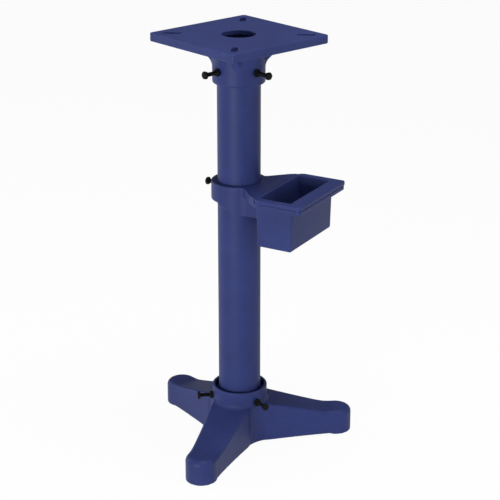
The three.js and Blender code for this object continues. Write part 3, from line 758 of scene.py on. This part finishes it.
COLOUR_A, COLOUR_B, COLOUR_RESULT = 6, 7, 2
WHITE = (1, 1, 1, 1)


class Wire:
    """A socket of a material's nodes that can be used in sums."""

    def __init__(self, tree, socket=None):
        self.tree = tree
        self.socket = socket

    def plug(self, target, value):
        if isinstance(value, Wire):
            self.tree.links.new(value.socket, target)
        else:
            target.default_value = value

    def node(self, kind, settings=None, inputs=None, output=0):
        """Adds a node: its settings first, then the values or links of its sockets."""
        made = self.tree.nodes.new(kind)
        for key, value in (settings or {}).items():
            if key == "stops":
                for element, (place, grey) in zip(made.color_ramp.elements, value):
                    element.position = place
                    element.color = (grey, grey, grey, 1)
            else:
                setattr(made, key, value)
        for key, value in (inputs or {}).items():
            self.plug(made.inputs[key], value)
        return Wire(self.tree, made.outputs[output]) if made.outputs else None

    def ramp(self, *stops):
        """This value through a grey ramp of two (place, grey) stops."""
        return self.node("ShaderNodeValToRGB", {"stops": stops}, {"Fac": self})

    def mixed(self, low, high):
        """A colour between two, this value being the share of the second."""
        settings = {"data_type": "RGBA"}
        inputs = {"Factor": self, COLOUR_A: low, COLOUR_B: high}
        return self.node("ShaderNodeMix", settings, inputs, COLOUR_RESULT)

    def math(self, operation, first, second):
        return self.node("ShaderNodeMath", {"operation": operation}, {0: first, 1: second})

    def __add__(self, other):
        return self.math("ADD", self, other)

    def __radd__(self, other):
        return self.math("ADD", other, self)

    def __sub__(self, other):
        return self.math("SUBTRACT", self, other)

    def __rsub__(self, other):
        return self.math("SUBTRACT", other, self)

    def __mul__(self, other):
        return self.math("MULTIPLY", self, other)

    def __rmul__(self, other):
        return self.math("MULTIPLY", other, self)


def noise(start, patches, detail, roughness=0.6):
    """Noise over the piece's own coordinates, with so many patches in a metre."""
    place = start.node("ShaderNodeTexCoord", output="Object")
    inputs = {"Vector": place, "Scale": patches, "Detail": detail, "Roughness": roughness}
    return start.node("ShaderNodeTexNoise", inputs=inputs)


def opaque(rgb, strength=1.0):
    """A colour as a socket takes it, darker or brighter if asked."""
    return (*(strength * channel for channel in rgb), 1.0)


def new_material(name):
    material = bpy.data.materials.new(name)
    material.use_nodes = True
    tree = material.node_tree
    tree.nodes.clear()
    return material, Wire(tree)


# Tones of the enamel, how its clouds and specks share in them, and how sharp an edge has to be to wear

DEEP_TONE, DEEP_BELOW, FULL_ABOVE = 0.78, 0.35, 0.65
CLOUDY_SHARE = 0.7
WORN_SHARE, WORN_FROM, WORN_TO = 0.5, 0.53, 0.6

ENAMEL_SHINE = 0.14
ENAMEL_ROUGHNESS, CLOUDY_ROUGHNESS, SPECKLE_ROUGHNESS, WORN_POLISH = 0.38, 0.12, 0.08, 0.06


def enamel(name, finish, grain, peel):
    """Blue enamel: grain is the height of the casting's skin under the paint, peel that of the paint."""
    material, start = new_material(name)
    cloudy = noise(start, patches=14.0, detail=4.0)
    speckle = noise(start, patches=420.0, detail=3.0)
    skin = noise(start, patches=220.0, detail=4.0)
    paint = noise(start, patches=650.0, detail=1.0, roughness=0.5)
    sharp = start.node("ShaderNodeNewGeometry", output="Pointiness")
    worn = sharp.ramp((WORN_FROM, 0.0), (WORN_TO, 1.0))
    clouds = cloudy * CLOUDY_SHARE + speckle * (1 - CLOUDY_SHARE)
    tone = clouds.ramp((DEEP_BELOW, 0.0), (FULL_ABOVE, 1.0))
    even = tone.mixed(opaque(finish.enamel, DEEP_TONE), opaque(finish.enamel))
    shade = (worn * WORN_SHARE).mixed(even, opaque(finish.enamel_worn))
    height = skin * grain + paint * peel
    dull = ENAMEL_ROUGHNESS + cloudy * CLOUDY_ROUGHNESS + speckle * SPECKLE_ROUGHNESS
    inputs = {
        "Base Color": shade,
        "Roughness": dull - worn * WORN_POLISH,
        "Specular IOR Level": ENAMEL_SHINE,
        "Normal": start.node("ShaderNodeBump", inputs={"Height": height, "Distance": 1.0}),
    }
    surface = start.node("ShaderNodeBsdfPrincipled", inputs=inputs)
    start.node("ShaderNodeOutputMaterial", inputs={"Surface": surface})
    return material


RUBBED_TONE = 4.0
RUBBED_SHARE, RUBBED_FROM, RUBBED_TO = 0.35, 0.55, 0.65
OXIDE_SHINE = 0.06
OXIDE_ROUGHNESS, OXIDE_CLOUDS, RUBBED_POLISH = 0.42, 0.18, 0.1
STEEL_GRAIN = 0.01 * MM


def black_oxide(finish):
    """Blackened steel with a faint oily sheen."""
    material, start = new_material("black_oxide")
    cloudy = noise(start, patches=180.0, detail=3.0)
    grain = noise(start, patches=1500.0, detail=2.0)
    sharp = start.node("ShaderNodeNewGeometry", output="Pointiness")
    rubbed = sharp.ramp((RUBBED_FROM, 0.0), (RUBBED_TO, 1.0))
    bright = opaque(finish.oxide, RUBBED_TONE)
    inputs = {
        "Base Color": (rubbed * RUBBED_SHARE).mixed(opaque(finish.oxide), bright),
        "Roughness": OXIDE_ROUGHNESS + cloudy * OXIDE_CLOUDS - rubbed * RUBBED_POLISH,
        "Specular IOR Level": OXIDE_SHINE,
        "Normal": start.node("ShaderNodeBump", inputs={"Height": grain * STEEL_GRAIN, "Distance": 1.0}),
    }
    surface = start.node("ShaderNodeBsdfPrincipled", inputs=inputs)
    start.node("ShaderNodeOutputMaterial", inputs={"Surface": surface})
    return material


FLOOR_WHITENESS = 0.95


def seen_white(start):
    """1 for rays that show the floor, seen or mirrored, and 0 for those that carry its light."""
    seen = start.node("ShaderNodeLightPath", output="Is Camera Ray")
    shine = start.node("ShaderNodeLightPath", output="Is Glossy Ray")
    through = start.node("ShaderNodeLightPath", output="Is Transmission Ray")
    return seen + shine + through


def pale_floor(finish):
    """A pale floor that looks nearly white and keeps a faint shadow."""
    material, start = new_material("pale_floor")
    matte = start.node("ShaderNodeBsdfDiffuse", inputs={"Color": opaque(finish.floor)})
    white = start.node("ShaderNodeEmission", inputs={"Color": WHITE, "Strength": 1.0})
    share = seen_white(start) * FLOOR_WHITENESS
    surface = start.node("ShaderNodeMixShader", inputs={0: share, 1: matte, 2: white})
    start.node("ShaderNodeOutputMaterial", inputs={"Surface": surface})
    return material


def shared_material(name, make):
    """A material by name, made the first time it is asked for."""
    return bpy.data.materials.get(name) or make()


# Pieces

ROUND_EDGE = math.radians(35)
HEX_EDGE = math.radians(25)


def smooth(mesh, sharp_angle):
    """Smooth shading that keeps edges sharper than an angle."""
    mesh.shade_smooth()
    mesh.set_sharp_from_angle(angle=sharp_angle)


def put_piece(mesh, name, material, body, node, matrix):
    """Places a finished mesh on its body, in place of its node."""
    mesh.materials.append(material)
    piece = bpy.data.objects.new(name, mesh)
    bpy.context.scene.collection.objects.link(piece)
    piece.matrix_world = matrix
    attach(piece, body)
    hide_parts(node)


def on_axis(turn=0.0):
    """A frame on the column's axis, turned about it if asked."""
    return Matrix.Translation(AXIS) @ Matrix.Rotation(turn, 4, "Z")


def outward_from(node):
    """A frame whose +Z runs outward from the column's axis through a screw or nut."""
    bearing = bearing_of(node)
    return (
        Matrix.Translation(AXIS + Vector((0, 0, middle_of(node).z)))
        @ Matrix.Rotation(bearing, 4, "Z")
        @ Matrix.Rotation(QUARTER, 4, "Y")
    )


CASTING_GRAIN = 0.45 * MM
TUBE_GRAIN = 0.06 * MM
PAINT_PEEL = 0.05 * MM


def casting_enamel(context):
    finish = context.scene.stand_finish
    name = "casting_enamel"
    return shared_material(name, lambda: enamel(name, finish, CASTING_GRAIN, PAINT_PEEL))


def tube_enamel(context):
    finish = context.scene.stand_finish
    name = "tube_enamel"
    return shared_material(name, lambda: enamel(name, finish, TUBE_GRAIN, PAINT_PEEL))


def screw_steel(context):
    return shared_material("black_oxide", lambda: black_oxide(context.scene.stand_finish))


# Cells of the grids over which the castings are drawn: in plan, in plan near the column, and in height

BASE_CELL, HUB_CELL, BASE_CELL_HEIGHT = 2.8 * MM, 1.9 * MM, 2 * MM
PLATE_CELL, SOCKET_CELL, HEAD_CELL_HEIGHT = 1.8 * MM, 1.5 * MM, 1.6 * MM
TRAY_CELL, TRAY_CELL_HEIGHT = 1.6 * MM, 1.5 * MM


class STAND_OT_base(bpy.types.Operator):
    """Casts the three-legged base"""

    bl_idname = "stand.base"
    bl_label = "Base casting"

    def execute(self, context):
        sizes = context.scene.stand_base
        low, high = (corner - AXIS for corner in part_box("base_casting"))
        fine_reach = COLUMN_RADIUS + 2 * sizes.hub_wall
        lines = [grid_lines(low[i], high[i], BASE_CELL, HUB_CELL, fine_reach) for i in range(2)]
        lines.append(grid_lines(low.z, high.z, BASE_CELL_HEIGHT))
        mesh = mesh_from_field("base_casting_skin", base_field(sizes, context.scene.stand_fits), lines)
        paint, place = casting_enamel(context), on_axis()
        put_piece(mesh, "base_cast", paint, "base", "base_casting", place)
        return {"FINISHED"}


class STAND_OT_column(bpy.types.Operator):
    """Turns the column tube"""

    bl_idname = "stand.column"
    bl_label = "Column tube"

    def execute(self, context):
        mesh = column_mesh(context.scene.stand_metal)
        smooth(mesh, ROUND_EDGE)
        paint, place = tube_enamel(context), on_axis()
        put_piece(mesh, "column_painted", paint, "column", "column_tube", place)
        return {"FINISHED"}


class STAND_OT_head(bpy.types.Operator):
    """Casts the head with its slotted plate and socket"""

    bl_idname = "stand.head"
    bl_label = "Head casting"

    def execute(self, context):
        sizes = context.scene.stand_head
        half = sizes.plate_side / 2
        fine_reach = COLUMN_RADIUS + 2 * sizes.socket_wall
        lines = [grid_lines(-half, half, PLATE_CELL, SOCKET_CELL, fine_reach) for _ in range(2)]
        lines.append(grid_lines(SOCKET_BOTTOM, STAND_TOP, HEAD_CELL_HEIGHT))
        mesh = mesh_from_field("head_casting_skin", head_field(sizes, context.scene.stand_fits), lines)
        paint, place = casting_enamel(context), on_axis(HEAD_TURN)
        put_piece(mesh, "head_cast", paint, "head", "head_casting", place)
        return {"FINISHED"}


class STAND_OT_tray(bpy.types.Operator):
    """Casts the tray bracket with its ring, deck and frame"""

    bl_idname = "stand.tray"
    bl_label = "Tray bracket"

    def execute(self, context):
        sizes = context.scene.stand_tray
        ring = COLUMN_RADIUS + sizes.ring_wall
        half = sizes.pot_length / 2 + sizes.rim_end
        outer = COLUMN_RADIUS + sizes.pot_standoff + sizes.pot_width + sizes.rim_outer
        lines = [
            grid_lines(-ring, outer, TRAY_CELL),
            grid_lines(-half, half, TRAY_CELL),
            grid_lines(ARM_BOTTOM, TRAY_TOP, TRAY_CELL_HEIGHT),
        ]
        mesh = mesh_from_field("tray_bracket_skin", tray_field(sizes, context.scene.stand_fits), lines)
        paint, place = casting_enamel(context), on_axis(TRAY_TURN)
        put_piece(mesh, "tray_cast", paint, "tray", "tray_bracket", place)
        return {"FINISHED"}


class STAND_OT_pot(bpy.types.Operator):
    """Shapes the lift-out water pot"""

    bl_idname = "stand.pot"
    bl_label = "Water pot"

    def execute(self, context):
        mesh = pot_mesh(context.scene.stand_tray)
        smooth(mesh, ROUND_EDGE)
        paint, place = casting_enamel(context), on_axis(TRAY_TURN)
        put_piece(mesh, "pot_cast", paint, "pot", "water_pot", place)
        return {"FINISHED"}


class STAND_OT_screws(bpy.types.Operator):
    """Turns the set screws with their threads and hexagon heads"""

    bl_idname = "stand.screws"
    bl_label = "Set screws"

    def execute(self, context):
        for node in SCREWS:
            mesh = screw_mesh(context.scene.stand_metal, node + "_skin", *reach_of(node))
            smooth(mesh, HEX_EDGE)
            put_piece(mesh, node + "_cut", screw_steel(context), node, node, outward_from(node))
        return {"FINISHED"}


class STAND_OT_nuts(bpy.types.Operator):
    """Turns the jam nuts"""

    bl_idname = "stand.nuts"
    bl_label = "Jam nuts"

    def execute(self, context):
        scene = context.scene
        for screw in SCREWS:
            node = screw.replace("screw", "nut")
            mesh = nut_mesh(scene.stand_metal, scene.stand_fits, node + "_skin", *reach_of(node))
            smooth(mesh, HEX_EDGE)
            put_piece(mesh, node + "_cut", screw_steel(context), node, node, outward_from(node))
        return {"FINISHED"}


# Stage

CAMERA_DISTANCE = 2.83215
CAMERA_HEIGHT = 1.47186
CAMERA_AZIMUTH = math.radians(-38.12)
CAMERA_PITCH = math.radians(20.74)
CAMERA_YAW = math.radians(0.42)
CAMERA_LENS = 112.38
SENSOR_WIDTH = 36
FLOOR_HALF = 300.0
FLOOR_DROP = 0.2 * MM
STUDIO_LIGHT = 0.19


def place_camera():
    """A camera fitted to the photograph's view of the stand."""
    data = bpy.data.cameras.new("photo_camera")
    data.sensor_width = SENSOR_WIDTH
    data.lens = CAMERA_LENS
    camera = bpy.data.objects.new("photo_camera", data)
    bpy.context.scene.collection.objects.link(camera)
    away = Vector((math.sin(CAMERA_AZIMUTH), -math.cos(CAMERA_AZIMUTH), 0)) * CAMERA_DISTANCE
    camera.location = AXIS + away + Vector((0, 0, CAMERA_HEIGHT))
    camera.rotation_euler = (QUARTER - CAMERA_PITCH, 0, CAMERA_AZIMUTH - CAMERA_YAW)
    bpy.context.scene.camera = camera


def area_light(name, azimuth, elevation, distance, size, watts):
    """A square soft box that faces the middle of the stand."""
    data = bpy.data.lights.new(name, "AREA")
    data.size = size
    data.energy = watts
    light = bpy.data.objects.new(name, data)
    bpy.context.scene.collection.objects.link(light)
    azimuth, elevation = math.radians(azimuth), math.radians(elevation)
    level = math.cos(elevation)
    away = Vector((math.sin(azimuth) * level, -math.cos(azimuth) * level, math.sin(elevation)))
    light.location = AXIS + Vector((0, 0, STAND_TOP / 2)) + away * distance
    light.rotation_euler = away.to_track_quat("Z", "Y").to_euler()


def studio_world():
    """Even soft light from all round."""
    world = bpy.data.worlds.new("studio")
    bpy.context.scene.world = world
    world.use_nodes = True
    world.node_tree.nodes.clear()
    start = Wire(world.node_tree)
    even = start.node("ShaderNodeBackground", inputs={"Color": WHITE, "Strength": STUDIO_LIGHT})
    start.node("ShaderNodeOutputWorld", inputs={"Surface": even})


class STAND_OT_stage(bpy.types.Operator):
    """Sets up the floor, the lights and the camera"""

    bl_idname = "stand.stage"
    bl_label = "Stage"

    def execute(self, context):
        corners = [(-1, -1), (1, -1), (1, 1), (-1, 1)]
        points = [(x * FLOOR_HALF, y * FLOOR_HALF, -FLOOR_DROP) for x, y in corners]
        mesh = bpy.data.meshes.new("floor")
        mesh.from_pydata(points, [], [(0, 1, 2, 3)])
        mesh.materials.append(pale_floor(context.scene.stand_finish))
        floor = bpy.data.objects.new("floor", mesh)
        context.scene.collection.objects.link(floor)
        studio_world()
        area_light("overhead", azimuth=10, elevation=79, distance=2.4, size=1.2, watts=43)
        area_light("front", azimuth=-66, elevation=2, distance=3.6, size=0.9, watts=88)
        area_light("side", azimuth=24, elevation=12, distance=3.6, size=1.6, watts=28)
        area_light("back", azimuth=205, elevation=12, distance=3.6, size=1.6, watts=34)
        context.scene.view_settings.view_transform = "Standard"
        place_camera()
        return {"FINISHED"}


class STAND_PT_panel(bpy.types.Panel):
    """Lists the pieces of the stand in the sidebar"""

    bl_idname = "STAND_PT_panel"
    bl_label = "Grinder stand"
    bl_space_type = "VIEW_3D"
    bl_region_type = "UI"
    bl_category = "Stand"

    def draw(self, context):
        for operator in OPERATORS:
            self.layout.operator(operator.bl_idname)


GROUPS = {
    "stand_fits": STAND_PG_fits,
    "stand_base": STAND_PG_base,
    "stand_head": STAND_PG_head,
    "stand_tray": STAND_PG_tray,
    "stand_metal": STAND_PG_metal,
    "stand_finish": STAND_PG_finish,
}
OPERATORS = (
    STAND_OT_base,
    STAND_OT_column,
    STAND_OT_head,
    STAND_OT_tray,
    STAND_OT_pot,
    STAND_OT_screws,
    STAND_OT_nuts,
    STAND_OT_stage,
)
CLASSES = (*GROUPS.values(), *OPERATORS, STAND_PT_panel)


def register():
    for cls in CLASSES:
        bpy.utils.register_class(cls)
    for name, group in GROUPS.items():
        setattr(bpy.types.Scene, name, PointerProperty(type=group))


def unregister():
    for name in GROUPS:
        delattr(bpy.types.Scene, name)
    for cls in reversed(CLASSES):
        bpy.utils.unregister_class(cls)


def main():
    register()
    bpy.ops.stand.base()
    bpy.ops.stand.column()
    bpy.ops.stand.head()
    bpy.ops.stand.tray()
    bpy.ops.stand.pot()
    bpy.ops.stand.screws()
    bpy.ops.stand.nuts()
    bpy.ops.stand.stage()


if __name__ == "__main__":
    main()
